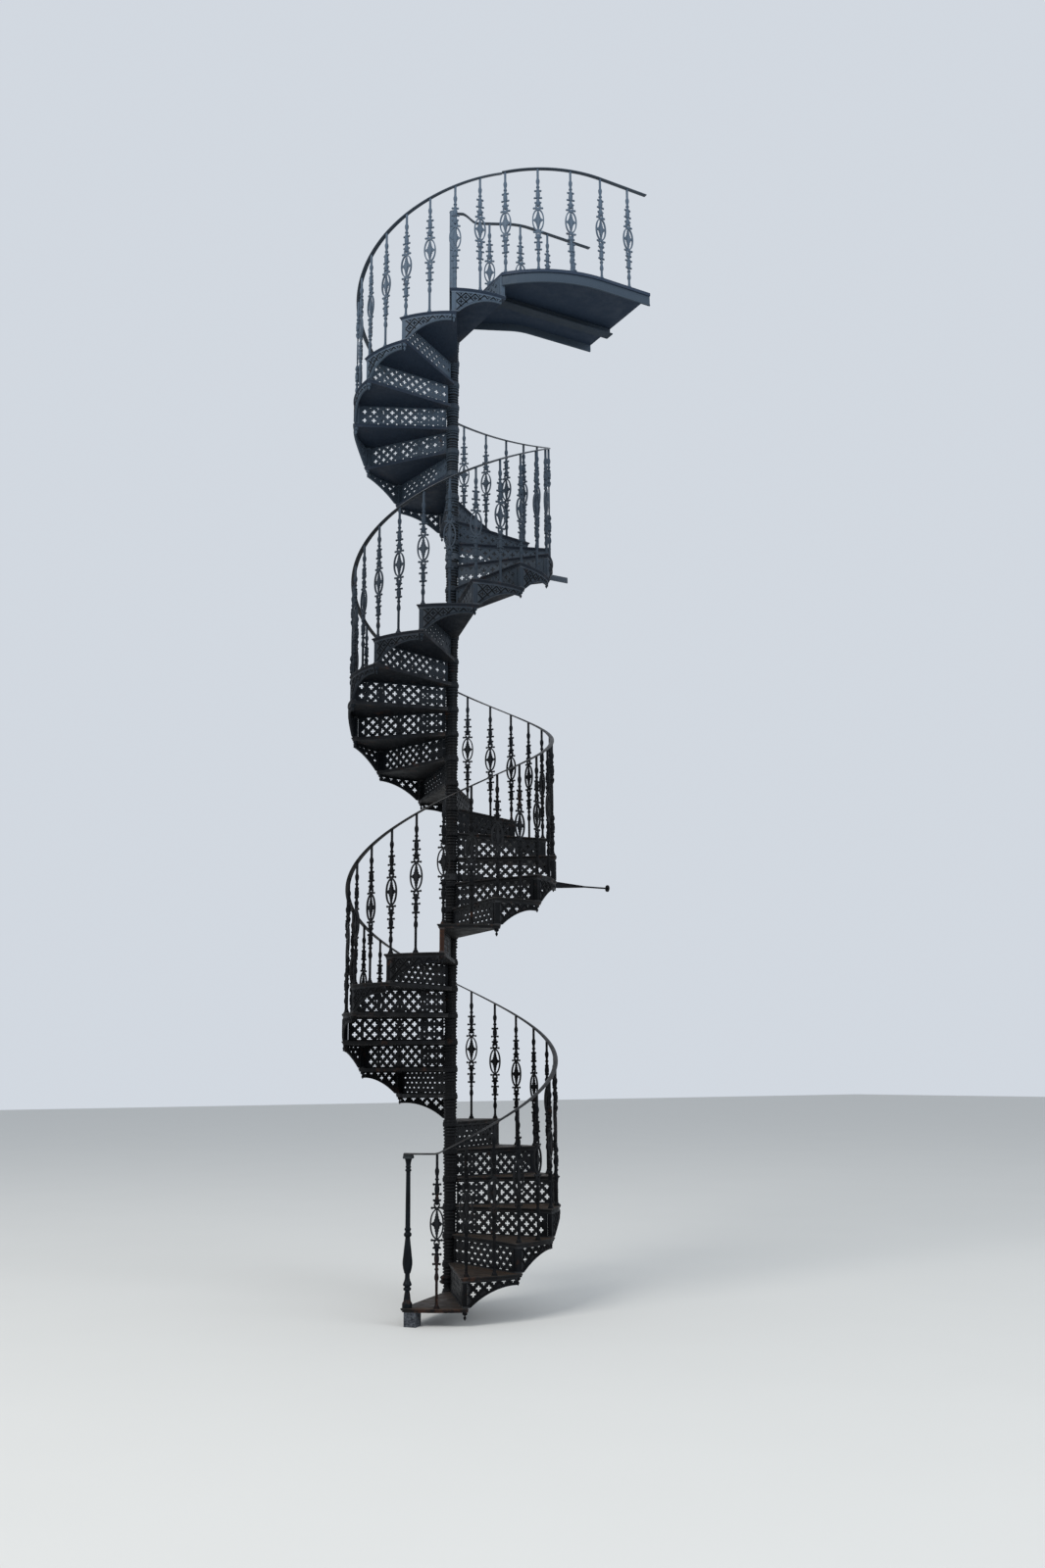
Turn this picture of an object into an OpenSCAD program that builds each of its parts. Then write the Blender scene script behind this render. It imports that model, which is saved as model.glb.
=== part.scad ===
// Cast-iron spiral staircase: thirty-nine wedge steps with pierced risers and arched
// spandrels, stacked on a central column, with ornamental balusters, a thin handrail and
// a top landing that curves away to a roof. Millimetres, +Z up, +X towards the wall.
// The origin is on the column's axis at paving level.

/* [Stair] */
// Height from one tread to the next
rise = 180; // [170:1:190]
// Angle that each step turns
step_angle = 29; // [28:0.5:30]
// Number of steps below the landing
step_count = 39; // [36:1:42]
// Direction of the first step's front edge
start_angle = -140; // [-145:1:-135]
// Radius to the outer edge of the treads
tread_r = 740; // [700:10:780]
// Top of the first tread above the paving
first_top = 110; // [105:1:130]

/* [Steps] */
// Thickness of a tread with its nosing
tread_t = 24; // [20:1:30]
// How far the nosing stands in front of the riser
nosing = 14; // [10:1:20]
// Thickness of a riser plate
riser_t = 8; // [6:1:12]
// Side of the square pilaster at a riser's outer end
pilaster_w = 34; // [28:1:38]
// Distance between openings of one row of the pierced work
pierce_pitch = 68; // [66:1:69]
// Radius of the four lobes of an opening
lobe_r = 7.8; // [7:0.2:8]
// Distance of a lobe's centre from the middle of its opening
lobe_out = 10.2; // [9.6:0.2:10.6]
// Step whose arched spandrel has broken away
lost_spandrel = 14; // [2:1:39]
// Radius of the arch under a spandrel
arch_r = 426; // [380:1:460]

/* [Column] */
// Radius of the central column
column_r = 28; // [24:1:32]
// Radius of a step's hub
hub_r = 42; // [38:1:44]
// Radius of the hub's boss at the tread
boss_r = 52; // [48:1:56]
// Height of the column's top above the landing
column_head = 905; // [880:5:940]
// Radius of the flange that the column stands in
flange_r = 95; // [80:5:110]
// Thickness of that flange
flange_t = 12; // [10:1:16]

/* [Railing] */
// Height of a corner baluster above its tread
baluster_h = 815; // [780:5:850]
// Radius of the circle that the balusters stand on
baluster_r = 715; // [700:1:720]
// Radius of a baluster's plain shaft
shaft_r = 7; // [6:0.5:9]
// Width of the handrail
rail_w = 32; // [26:1:40]
// Thickness of the handrail
rail_t = 11; // [9:1:16]

/* [Landing] */
// Distance of the landing's end from the column's axis
landing_end = 1100; // [1060:10:1250]
// Outer straight edge of the landing, to the right of the column's axis
landing_out = 1035; // [1020:5:1050]
// Inner straight edge of the landing, to the right of the column's axis
landing_in = 205; // [195:5:215]
// Depth of the fascia round the landing
fascia_h = 75; // [60:1:90]

/* [Wall ties] */
// Height of the lower tie
tie_low_z = 2850; // [2850:1:2868]
// Height of the upper tie
tie_high_z = 5210; // [5192:1:5210]
// Depth of a tie's flat bar
tie_h = 44; // [36:1:46]
// Thickness of a tie's flat bar
tie_t = 8; // [6:1:10]
// Distance of the wall from the column's axis
wall_x = 1310; // [1250:5:1350]

/* [Hidden] */
FLIGHTS = 4;
FLIGHT_STEPS = 10;
TREAD_FN = 180;

function step_top(k) = first_top + (k - 1) * rise;
function step_dir(k) = start_angle + (k - 1) * step_angle;
function first_step(f) = (f - 1) * FLIGHT_STEPS + 1;
function last_step(f) = min(f * FLIGHT_STEPS, step_count);
function polar(r, a) = [r * cos(a), r * sin(a)];
landing_z = step_top(step_count + 1);

// Puts its children on a step's front line, at the height of the tread's top
module at_step(k) {
    translate([0, 0, step_top(k)]) rotate([0, 0, step_dir(k)]) children();
}

// Outline of a tread, its front and outer edges drawn in by a setback
module tread_outline(setback) {
    reach = tread_r * 1.2;
    back = polar(reach, step_angle);
    lap = pilaster_w + 2;
    shift = [-lap * sin(step_angle), lap * cos(step_angle)];
    difference() {
        intersection() {
            circle(r = tread_r - setback, $fn = TREAD_FN);
            polygon([[0, setback - nosing], [reach, setback - nosing], [reach, reach * tan(step_angle / 2)],
                     back + shift, shift]);
        }
        circle(r = boss_r, $fn = 64);
    }
}

// One tread: a plate whose nosing steps inward below its front and outer edges
module tread(k) {
    lip = tread_t * 0.25;
    mid = tread_t * 0.35;
    at_step(k) {
        translate([0, 0, -lip]) linear_extrude(lip) tread_outline(0);
        translate([0, 0, -lip - mid]) linear_extrude(mid) tread_outline(4);
        translate([0, 0, -tread_t]) linear_extrude(tread_t - lip - mid) tread_outline(9);
    }
}

module treads_flight(f) color("#4b3a32") {
    for (k = [first_step(f) : last_step(f)]) tread(k);
}

riser_h = rise - tread_t;
riser_in = boss_r;
riser_out = tread_r - 9 - pilaster_w;

// A pierced opening with four round lobes
module quatrefoil() {
    for (a = [0 : 90 : 270]) translate(polar(lobe_out, a)) circle(r = lobe_r, $fn = 32);
    rotate([0, 0, 45]) square(lobe_out * 1.3, center = true);
}

// Openings of a riser on a lattice turned by 45 degrees, with only drilled holes near the hub
first_column = 76;
column_count = 9;
drilled_columns = 2;
module pierced(h) {
    row = pierce_pitch / 2;
    drilled_r = 4.6;
    for (i = [0 : column_count - 1]) translate([first_column + pierce_pitch * i, h / 2]) {
        quatrefoil();
        if (i < drilled_columns)
            for (z = [-1.5 : 1.5]) translate([row, z * row]) circle(r = drilled_r, $fn = 16);
        else
            for (s = [-1, 1]) translate([row, s * row]) quatrefoil();
    }
}

module riser_panel(h) {
    rotate([90, 0, 0]) translate([0, 0, -riser_t]) linear_extrude(riser_t) difference() {
        translate([riser_in, 0]) square([riser_out - riser_in, h]);
        pierced(h);
    }
}

module risers_flight(f) color("#26292d") {
    for (k = [max(first_step(f), 2) : last_step(f)])
        at_step(k) translate([0, 0, -rise]) riser_panel(riser_h);
}

spandrel_t = 10;
pilaster_in = tread_r - 9 - pilaster_w;
spandrel_r = tread_r - 9;
pendant_h = 50;

// Turned drop below the tread that a pilaster stands on
module pendant() {
    rotate_extrude($fn = 24) polygon([[0, 0], [16, 0], [16, -7], [11, -12], [5, -18], [5, -24], [9, -31],
                                      [9, -37], [4, -45], [4, -48], [0, -pendant_h]]);
}

module pilaster(h) {
    translate([pilaster_in, 0, 0]) cube([pilaster_w, pilaster_w, h]);
}

// Arched panel below a tread's outer edge, from its pilaster to the next, pierced like the risers
spandrel_from = 2.8;
arch_pieces = 14;
arch_crown = 42;
arch_shift = 30;
function arch_at(a) = arch_r * [cos(a), sin(a)] - [arch_shift, arch_crown + arch_r];
module spandrel_face(h) {
    span = spandrel_r * sin(step_angle);
    row = pierce_pitch / 2;
    half = lobe_out + lobe_r;
    top = -10;
    first = pilaster_w + row - span;
    arch = [for (i = [arch_pieces : -1 : 0]) arch_at(100 + 80 * i / arch_pieces)];
    difference() {
        polygon(concat([[arch_shift * 2, -arch_crown], [arch_shift * 2, 0], [-span - row, 0],
                        [-span - row, -h - 2], [-arch_shift - arch_r, -h - 2]], arch));
        for (i = [0 : 2]) translate([first + i * pierce_pitch, top])
            polygon([[-half, 0], [half, 0], [0, -half]]);
        for (i = [0, 1]) translate([first + (i + 0.5) * pierce_pitch, top - row]) diamond(half);
        translate([first, top - 2 * row]) diamond(half);
    }
}

module diamond(half) {
    polygon([[-half, 0], [0, -half], [half, 0], [0, half]]);
}

module spandrel(h) {
    intersection() {
        rotate([0, 0, spandrel_from]) rotate_extrude(angle = step_angle - spandrel_from - 0.2, $fn = TREAD_FN)
            translate([spandrel_r - spandrel_t, -h - 1]) square([spandrel_t, h + 1]);
        rotate([0, 0, step_angle]) translate([spandrel_r - 90, 0, 0]) rotate([90, 0, 90])
            linear_extrude(200) spandrel_face(h);
    }
}

module spandrels_flight(f) color("#23262a") {
    for (k = [max(first_step(f), 2) : last_step(f)])
        if (k != lost_spandrel) at_step(k) translate([0, 0, -tread_t]) spandrel(riser_h);
}

// Square pilasters between treads, each over the pendant of the step below
module pilasters_flight(f) color("#2a2c30") {
    for (k = [max(first_step(f), 2) : last_step(f)]) at_step(k) {
        translate([0, 0, -rise]) pilaster(riser_h);
        translate([pilaster_in + pilaster_w / 2, pilaster_w / 2, -rise - tread_t]) pendant();
    }
}

// A step's hub: a boss at the tread over a sleeve with ring mouldings
hub_rings = [-86, -65, -44];
module hub(k) {
    low = k == 1 ? flange_t - first_top : -rise;
    bead = hub_r + 4;
    translate([0, 0, step_top(k)]) rotate_extrude($fn = 64)
        polygon(concat([[column_r, low], [bead, low], [bead, low + 12], [hub_r, low + 16]],
                       [for (z = k == 1 ? [] : hub_rings)
                        each [[hub_r, z - 8], [bead, z - 4], [bead, z + 4], [hub_r, z + 8]]],
                       [[hub_r, -34], [boss_r, -28], [boss_r, -2], [hub_r + 2, 0], [column_r, 0]]));
}

module hubs_odd_steps() color("#2b2e33") {
    for (k = [1 : 2 : step_count]) hub(k);
}

module hubs_even_steps() color("#2b2e33") {
    for (k = [2 : 2 : step_count]) hub(k);
}

ornament_at = 412;
ring_w = 90;
ring_h = 190;
ring_bar = 9;
plate_t = 10;
scroll_r = 11;

// Pointed oval between two circles
module almond(w, h) {
    r = (h * h + w * w) / 4 / w;
    intersection() {
        translate([r - w / 2, 0]) circle(r = r, $fn = 90);
        translate([w / 2 - r, 0]) circle(r = r, $fn = 90);
    }
}

// Flat cast part of a baluster: the oval with a four-pointed star in it, between pairs of scrolls
module medallion() {
    point = ring_h / 2 - ring_bar - 10;
    arm = ring_w / 2 - 5;
    difference() {
        almond(ring_w, ring_h);
        almond(ring_w - 2 * ring_bar, ring_h - 30);
    }
    polygon([[0, -point], [18, -30], [arm, 0], [18, 30], [0, point], [-18, 30], [-arm, 0], [-18, -30]]);
    for (s = [-1, 1], m = [-1, 1]) translate([m * 22, s * 88]) circle(r = scroll_r, $fn = 24);
}

// Turned swellings and collars between the oval and the plain shaft, by distance from the oval's centre
swelling = [[8, 84], [8, 112], [18, 130], [18, 144], [10, 156], [10, 174], [22, 178], [22, 184], [15, 190],
            [15, 226], [20, 233], [20, 239], [8, 246], [8, 290], [14, 304], [14, 322], [shaft_r, 336]];

// A baluster: bell foot, plain shaft and the oval ornament between its swellings
module baluster(h) {
    centre = h - ornament_at;
    rotate_extrude($fn = 20) polygon(concat([[0, 0], [20, 0], [20, 5], [11, 16], [shaft_r, 36]],
                                            [for (p = reversed(swelling)) [p[0], centre - p[1]]],
                                            [[0, centre - swelling[0][1]]]));
    rotate_extrude($fn = 20) polygon(concat([[0, centre + swelling[0][1]]],
                                            [for (p = swelling) [p[0], centre + p[1]]],
                                            [[shaft_r, h], [0, h]]));
    translate([-plate_t / 2, 0, centre]) rotate([90, 0, 90]) linear_extrude(plate_t) medallion();
}

corner_at = 2;
middle_at = corner_at + step_angle / 2;
module step_balusters(k) {
    if (k > 1) rotate([0, 0, corner_at]) translate([baluster_r, 0, 0]) baluster(baluster_h);
    rotate([0, 0, middle_at]) translate([baluster_r, 0, 0]) baluster(baluster_h + rise / 2);
}

module balusters_flight(f) color("#2a2d31") {
    for (k = [first_step(f) : last_step(f)]) at_step(k) step_balusters(k);
}

// Section of the handrail, as sideways and upward offsets from its path
rail_section = [[-0.5, 0], [0.5, 0], [0.5, 0.4], [0.3, 0.85], [0, 1], [-0.3, 0.85], [-0.5, 0.4]];

// A tube of the rail's section through points, each with its sideways direction
module sweep(points, sides) {
    n = len(rail_section);
    last = len(points) - 1;
    verts = [for (i = [0 : last]) for (s = rail_section)
        points[i] + concat(s[0] * rail_w * sides[i], [s[1] * rail_t])];
    walls = [for (i = [0 : last - 1]) for (j = [0 : n - 1]) for (half = [0, 1])
        half == 0 ? [i * n + j, i * n + (j + 1) % n, (i + 1) * n + (j + 1) % n]
                  : [i * n + j, (i + 1) * n + (j + 1) % n, (i + 1) * n + j]];
    start = [for (j = [n - 1 : -1 : 0]) j];
    finish = [for (j = [0 : n - 1]) last * n + j];
    polyhedron(points = verts, faces = concat([start], walls, [finish]), convexity = 6);
}

// Height of the rail's underside above the paving, by the angle gone from the first front edge
rail_level = step_angle / 2 + corner_at;
function rail_z(turned) = step_top(1) + baluster_h + rise * (max(turned, rail_level) - corner_at) / step_angle;

module helical_rail(from, to) {
    parts = ceil((to - from) / 7.25);
    turns = [for (i = [0 : parts]) from + (to - from) * i / parts];
    sweep([for (t = turns) concat(polar(baluster_r, start_angle + t), [rail_z(t)])],
          [for (t = turns) polar(1, start_angle + t)]);
}

rail_lead = 0.6;
flight_turn = FLIGHT_STEPS * step_angle;
module handrail_flight(f) color("#3a3d42") {
    from = f == 1 ? -rail_lead : (f - 1) * flight_turn;
    to = f == FLIGHTS ? step_count * step_angle + corner_at : f * flight_turn;
    helical_rail(from, to);
}

module column() color("#2b2e33") {
    cylinder(r = column_r, h = landing_z + column_head, $fn = 64);
}

// Flange on the paving round the column's foot, with its bolt holes
bolt_circle_r = 70;
bolt_hole_r = 6.5;
module column_base() color("#3b3e42") difference() {
    rotate_extrude($fn = 64) polygon([[column_r, 0], [flange_r, 0], [flange_r, flange_t - 4],
                                      [flange_r - 4, flange_t], [column_r, flange_t]]);
    for (a = [45 : 90 : 315]) translate(concat(polar(bolt_circle_r, a), [-1]))
        cylinder(r = bolt_hole_r, h = flange_t + 2, $fn = 24);
}

module column_cap() color("#2b2e33") {
    translate([0, 0, landing_z + column_head]) rotate_extrude($fn = 48)
        polygon([[0, 0], [30, 0], [30, 4], [22, 10], [0, 12]]);
}

// Newel: a turned cast post with a leafy swelling low down and a square top
newel_at = [707, 17];
newel_h = baluster_h + rise / 2;
abacus_w = 54;
abacus_t = 17;
module newel_post() color("#1f2a2a") {
    at_step(1) translate([newel_at[0], newel_at[1], 0]) {
        rotate_extrude($fn = 40)
            polygon([[0, 0], [31, 0], [31, 8], [29, 12], [28, 34], [23, 60], [15, 86], [13, 98], [19.5, 104],
                     [19.5, 108], [14, 112], [14.5, 130], [26, 139], [27, 143], [16, 153], [14.5, 196],
                     [20, 215], [28, 238], [30, 262], [28, 290], [22, 330], [17.5, 385], [18, 414],
                     [22.5, 419], [22.5, 427], [17.5, 434], [16, 459], [15.2, 600], [14.5, 805], [18.5, 809],
                     [18.5, 818], [14.5, 826], [18, 850], [24, newel_h - abacus_t], [0, newel_h - abacus_t]]);
        translate([-abacus_w / 2, -abacus_w / 2, newel_h - abacus_t]) cube([abacus_w, abacus_w, abacus_t]);
    }
}

block_w = 80;
block_inset = 12;
module newel_block() color("#5c646c") {
    rotate([0, 0, start_angle]) translate([tread_r - block_inset - block_w, 4, 0])
        cube([block_w, block_w, first_top - tread_t]);
}

// Plan of the landing: from the last tread's edge, curving out and on to the roof
out_r = 920;
out_centre = [690, out_r - landing_out];
in_start = 24;
in_turn = 27;
in_r = 376;
in_centre = [548, in_r - landing_in];
landing_dir = step_dir(step_count + 1);
function arc(c, r, from, to, n) = [for (i = [0 : n]) c + polar(r, from + (to - from) * i / n)];
outer_from = atan2(tread_r * sin(landing_dir) - out_centre[1], tread_r * cos(landing_dir) - out_centre[0]);
function outer_line(inset) = concat(arc(out_centre, out_r - inset, outer_from, -90, 14),
                                    [[landing_end, inset - landing_out]]);
function inner_line(inset) = concat([polar(boss_r + 3, -in_start)],
                                    arc(in_centre, in_r + inset, -90 - in_turn, -90, 6),
                                    [[landing_end, -landing_in - inset]]);
function reversed(list) = [for (i = [len(list) - 1 : -1 : 0]) list[i]];
function landing_plan(inset) = concat([polar(boss_r / 2, landing_dir)], outer_line(inset),
                                      reversed(inner_line(inset)), [polar(boss_r / 2, -in_start)]);

module landing_plate() color("#2d3340") {
    translate([0, 0, landing_z - tread_t]) linear_extrude(tread_t) difference() {
        polygon(landing_plan(0));
        circle(r = boss_r, $fn = 64);
    }
}

module landing_riser() color("#26292d") {
    at_step(step_count + 1) translate([0, 0, -rise]) {
        riser_panel(riser_h);
        pilaster(riser_h);
    }
}

// T-shaped joist below the landing, its flange downward
module landing_joist() color("#2d3340") {
    joist_y = -495;
    flange_w = 80;
    joist_h = 60;
    translate([80, joist_y, landing_z - tread_t - joist_h]) rotate([90, 0, 90]) linear_extrude(landing_end - 80)
        polygon([[-flange_w / 2, 0], [flange_w / 2, 0], [flange_w / 2, 8], [4, 8], [4, joist_h],
                 [-4, joist_h], [-4, 8], [-flange_w / 2, 8]]);
}

// Fascia under an edge of the landing, with a bead along its lower edge
module fascia(outer, inner, bead, h) {
    translate([0, 0, landing_z - tread_t - h]) {
        linear_extrude(h) polygon(concat(outer, reversed(inner)));
        linear_extrude(8) polygon(concat(bead, reversed(inner)));
    }
}
module landing_fascia_outer() color("#23262a")
    fascia(outer_line(9), outer_line(17), outer_line(4), fascia_h);
module landing_fascia_inner() color("#23262a")
    fascia(inner_line(9), inner_line(17), inner_line(4), fascia_h * 0.7);

function along(points, i) = points[min(i + 1, len(points) - 1)] - points[max(i - 1, 0)];
function side(points, i) = let (d = along(points, i)) [d[1], -d[0]] / norm(d);
function length_to(points, i) = i == 0 ? 0 : length_to(points, i - 1) + norm(points[i] - points[i - 1]);
function at_length(points, s, i = 1) =
    let (step = points[i] - points[i - 1], d = norm(step))
    s <= d || i == len(points) - 1 ? [points[i - 1] + step * s / d, atan2(step[1], step[0])]
                                   : at_length(points, s - d, i + 1);

// A rail along a line of the landing, with its underside's height at each point
module landing_rail(points, heights) {
    sweep([for (i = [0 : len(points) - 1]) concat(points[i], [landing_z + heights[i]])],
          [for (i = [0 : len(points) - 1]) side(points, i)]);
}

rail_inset = tread_r - baluster_r;
landing_pitch = 240;
module landing_rail_outer() color("#3a3d42") {
    line = outer_line(rail_inset);
    landing_rail(line, [for (p = line) baluster_h]);
}

// The inner rail leaves the column's top level and sinks in an S to the height of the railing
sink_from = 0.10;
sink_to = 0.42;
function eased(t) = let (s = min(max((t - sink_from) / (sink_to - sink_from), 0), 1)) s * s * (3 - 2 * s);
module landing_rail_inner() color("#3a3d42") {
    line = inner_line(rail_inset);
    first = polar(column_r, -in_start);
    marks = [0, sink_from, 0.18, 0.26, 0.34, sink_to, 0.7];
    rest = [for (i = [1 : len(line) - 1]) line[i]];
    top = column_head - rail_t;
    landing_rail(concat([for (t = marks) first + (line[1] - first) * t], rest),
                 concat([for (t = marks) top + (baluster_h - top) * eased(t)], [for (p = rest) baluster_h]));
}

// Balusters at equal steps along a line of the landing
module landing_balusters(points, first) {
    reach = length_to(points, len(points) - 1) - shaft_r - 12;
    for (s = [first : landing_pitch : reach]) {
        place = at_length(points, s);
        translate(concat(place[0], [landing_z])) rotate([0, 0, place[1] + 90]) baluster(baluster_h);
    }
}
module landing_balusters_outer() color("#2a2d31") landing_balusters(outer_line(rail_inset), 20);
module landing_balusters_inner() color("#2a2d31") landing_balusters(inner_line(rail_inset), 225);

// Collar round a hub and the flat bar that ties it to the wall
collar_r = hub_r + 8;
module tie_bar(z, reach) {
    translate([0, 0, z - tie_h / 2]) {
        linear_extrude(tie_h) difference() {
            union() {
                circle(r = collar_r, $fn = 64);
                translate([hub_r, -tie_t / 2]) square([reach - hub_r, tie_t]);
            }
            circle(r = hub_r, $fn = 64);
        }
    }
}

// Lower tie: the bar ends in a rod with a round plate on the wall
module wall_tie_lower() color("#2b2e33") {
    bar_end = 880;
    neck = 220;
    plate = 8;
    tie_bar(tie_low_z, bar_end);
    translate([bar_end, 0, tie_low_z]) rotate([90, 0, 0]) translate([0, 0, -tie_t / 2]) linear_extrude(tie_t)
        polygon([[0, -tie_h / 2], [neck, -6], [neck, 6], [0, tie_h / 2]]);
    translate([bar_end + neck / 2, 0, tie_low_z]) rotate([0, 90, 0])
        cylinder(r = 6, h = wall_x - plate - bar_end - neck / 2, $fn = 24);
    translate([wall_x - plate, 0, tie_low_z]) rotate([0, 90, 0]) cylinder(r = 25, h = plate, $fn = 48);
}

// Upper tie: the bar alone, which ends at the moulding that stands out there
upper_reach = 993;
module wall_tie_upper() color("#2b2e33") tie_bar(tie_high_z, upper_reach);

treads_flight(1);  // treads_flight_1
treads_flight(2);  // treads_flight_2
treads_flight(3);  // treads_flight_3
treads_flight(4);  // treads_flight_4
risers_flight(1);  // risers_flight_1
risers_flight(2);  // risers_flight_2
risers_flight(3);  // risers_flight_3
risers_flight(4);  // risers_flight_4
spandrels_flight(1);  // spandrels_flight_1
spandrels_flight(2);  // spandrels_flight_2
spandrels_flight(3);  // spandrels_flight_3
spandrels_flight(4);  // spandrels_flight_4
pilasters_flight(1);  // pilasters_flight_1
pilasters_flight(2);  // pilasters_flight_2
pilasters_flight(3);  // pilasters_flight_3
pilasters_flight(4);  // pilasters_flight_4
hubs_odd_steps();
hubs_even_steps();
balusters_flight(1);  // balusters_flight_1
balusters_flight(2);  // balusters_flight_2
balusters_flight(3);  // balusters_flight_3
balusters_flight(4);  // balusters_flight_4
handrail_flight(1);  // handrail_flight_1
handrail_flight(2);  // handrail_flight_2
handrail_flight(3);  // handrail_flight_3
handrail_flight(4);  // handrail_flight_4
column();
column_base();
column_cap();
newel_post();
newel_block();
landing_plate();
landing_riser();
landing_fascia_outer();
landing_fascia_inner();
landing_joist();
landing_balusters_outer();
landing_balusters_inner();
landing_rail_outer();
landing_rail_inner();
wall_tie_lower();
wall_tie_upper();
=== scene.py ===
import math

import bpy
import numpy as np
from mathutils import Matrix, Vector
from mathutils.geometry import delaunay_2d_cdt


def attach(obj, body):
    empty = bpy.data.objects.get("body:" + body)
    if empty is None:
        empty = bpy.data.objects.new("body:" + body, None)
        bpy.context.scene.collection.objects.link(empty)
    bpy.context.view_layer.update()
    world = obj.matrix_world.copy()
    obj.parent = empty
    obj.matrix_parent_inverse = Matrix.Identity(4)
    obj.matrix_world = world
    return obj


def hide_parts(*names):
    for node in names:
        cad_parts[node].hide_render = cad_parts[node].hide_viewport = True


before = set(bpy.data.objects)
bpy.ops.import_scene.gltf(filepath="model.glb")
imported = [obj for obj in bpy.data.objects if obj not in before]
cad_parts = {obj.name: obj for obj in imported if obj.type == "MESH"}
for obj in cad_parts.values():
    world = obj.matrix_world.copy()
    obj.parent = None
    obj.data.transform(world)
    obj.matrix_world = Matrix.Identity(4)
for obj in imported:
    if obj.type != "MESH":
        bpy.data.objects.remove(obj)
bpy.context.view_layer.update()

MM = 0.001

# Sizes in millimetres and degrees, as in the part, but for SHAFT_R, which is 1.5 mm more than there
RISE = 180
STEP_ANGLE = 29
STEP_COUNT = 39
START_ANGLE = -140
FLIGHT_STEPS = 10
FLIGHTS = 4
LOST_SPANDREL = 14
TREAD_R = 740
FIRST_TOP = 110
TREAD_T = 24
NOSING = 14
OVERHANG = 9
RISER_T = 8
RISER_H = RISE - TREAD_T
PILASTER_W = 34
PILASTER_IN = TREAD_R - OVERHANG - PILASTER_W
SPANDREL_R = TREAD_R - OVERHANG
SPANDREL_T = 10
COLUMN_R = 28
COLUMN_HEAD = 905
BOSS_R = 52
FLANGE_T = 12
BALUSTER_H = 815
BALUSTER_R = 715
CORNER_AT = 2
SHAFT_R = 8.5
RAIL_W = 32
RAIL_T = 11
LANDING_Z = FIRST_TOP + STEP_COUNT * RISE
LANDING_END = 1100
LANDING_OUT = 1035
LANDING_IN = 205


def step_top(k):
    return FIRST_TOP + (k - 1) * RISE


def step_dir(k):
    return START_ANGLE + (k - 1) * STEP_ANGLE


def polar(r, degrees):
    a = math.radians(degrees)
    return r * math.cos(a), r * math.sin(a)


def metres(r, degrees, z):
    return (*[v * MM for v in polar(r, degrees)], z * MM)


def flight(f):
    return range((f - 1) * FLIGHT_STEPS + 1, min(f * FLIGHT_STEPS, STEP_COUNT) + 1)


def pairs(loop):
    """Neighbours round a closed loop."""
    return zip(loop, loop[1:] + loop[:1])


# Mesh code
class Shape:
    """Points in millimetres and faces, gathered into one mesh."""

    def __init__(self, points=(), faces=()):
        self.points, self.faces, self.count = [], [], 0
        if len(points):
            self.add(points, faces)

    def add(self, points, faces):
        self.points.append(np.asarray(points, float))
        self.faces.extend([tuple(i + self.count for i in f) for f in faces])
        self.count += len(points)

    def put(self, other, turn=0.0, at=(0, 0, 0), yaw=0.0, along=0.0):
        """Adds another shape, turned by yaw on its own axis, moved along x, turned about z, then moved."""
        points = rotated(np.concatenate(other.points), yaw) + np.array([along, 0, 0])
        self.add(rotated(points, turn) + np.array(at, float), other.faces)

    def upside_down(self):
        return Shape(np.concatenate(self.points) * (1, 1, -1), [tuple(reversed(f)) for f in self.faces])

    def object(self, name, material, sharp):
        """Links the mesh to the scene, smooth but for edges sharper than an angle."""
        mesh = bpy.data.meshes.new(name)
        mesh.from_pydata((np.concatenate(self.points) * MM).tolist(), [], self.faces)
        mesh.materials.append(material)
        mesh.validate()
        mesh.shade_smooth()
        mesh.set_sharp_from_angle(angle=math.radians(sharp))
        piece = bpy.data.objects.new(name, mesh)
        bpy.context.scene.collection.objects.link(piece)
        return piece


PLATE_SHARP, CAST_SHARP, RAIL_SHARP = 32.0, 40.0, 50.0


def rotated(points, degrees):
    a = math.radians(degrees)
    c, s = math.cos(a), math.sin(a)
    out = points.copy()
    out[:, 0] = points[:, 0] * c - points[:, 1] * s
    out[:, 1] = points[:, 0] * s + points[:, 1] * c
    return out


def skin(loops):
    """A surface over loops of equally many points, from the first to the last, with both ends capped."""
    n, last = len(loops[0]), len(loops) - 1
    faces = [(i * n + j, i * n + m, (i + 1) * n + m, (i + 1) * n + j)
             for i in range(last) for j, m in pairs(list(range(n)))]
    faces += [tuple(range(n - 1, -1, -1)), tuple(range(last * n, last * n + n))]
    return Shape(np.concatenate([np.asarray(loop, float) for loop in loops]), faces)


def strip(rows):
    """An open skin over rows of equally many points."""
    n = len(rows[0])
    faces = [(i * n + j, (i + 1) * n + j, (i + 1) * n + j + 1, i * n + j + 1)
             for i in range(len(rows) - 1) for j in range(n - 1)]
    return Shape([p for row in rows for p in row], faces)


def turned(profile, sides, flutes=0, depth=0.0, zone=(0, 0)):
    """A surface of revolution about z from (radius, height) pairs, bottom to top, with flutes cut into one zone."""
    angles = np.arange(sides) * 2 * math.pi / sides
    rings = []
    for r, z in profile:
        radius = np.full(sides, float(r))
        if flutes and zone[0] <= z <= zone[1]:
            radius -= depth * (0.5 + 0.5 * np.cos(flutes * angles))
        rings.append(np.stack([radius * np.cos(angles), radius * np.sin(angles), np.full(sides, float(z))], 1))
    return skin(rings)


def sweep(section, points, sides):
    """A closed section (sideways, up) carried through points, each with its sideways direction."""
    return skin([[(x + s * dx, y + s * dy, z + u) for s, u in section]
                 for (x, y, z), (dx, dy) in zip(points, sides)])


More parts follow.
